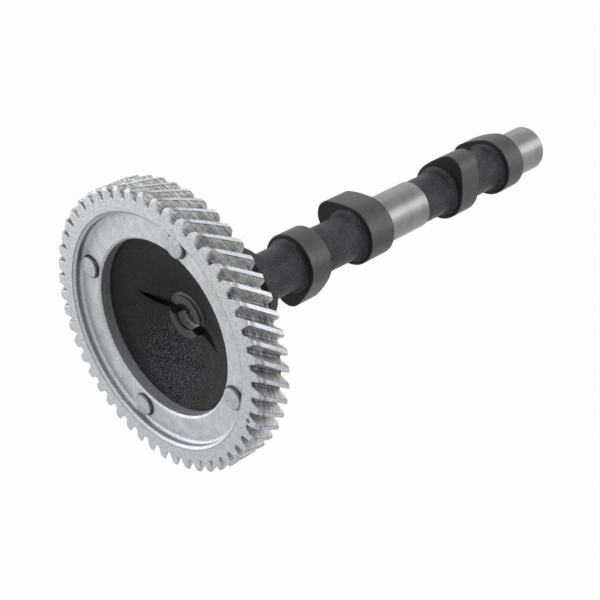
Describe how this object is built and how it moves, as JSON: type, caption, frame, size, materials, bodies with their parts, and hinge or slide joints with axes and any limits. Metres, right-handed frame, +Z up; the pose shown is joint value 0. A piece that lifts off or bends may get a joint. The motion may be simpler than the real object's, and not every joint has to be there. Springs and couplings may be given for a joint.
{
  "type": "camshaft",
  "caption": "Cast camshaft of a flat engine: ground journals, thrust collar, cam lobes, and a dished flange with a drive slot, riveted to a helical aluminium timing gear.",
  "frame": {"origin": "on the shaft's axis, at the middle of the first journal, between the two thrust faces", "axes": "+X along the shaft from the gear towards its far end, +Z up in the picture, +Y away from the camera to the left"},
  "size_m": [0.279, 0.1336, 0.1336],
  "materials": {
    "cast_iron_black": "black cast skin on the necks and dish, satin lobes, ground bright journals",
    "gear_aluminium": "machined rim and teeth, matte cast web",
    "rivet_steel": "dull zinc"
  },
  "bodies": {
    "root": {"camshaft": "cast_iron_black", "cam_gear": "gear_aluminium", "rivet_1": "rivet_steel", "rivet_2": "rivet_steel", "rivet_3": "rivet_steel", "rivet_4": "rivet_steel"}
  },
  "joints": []
}
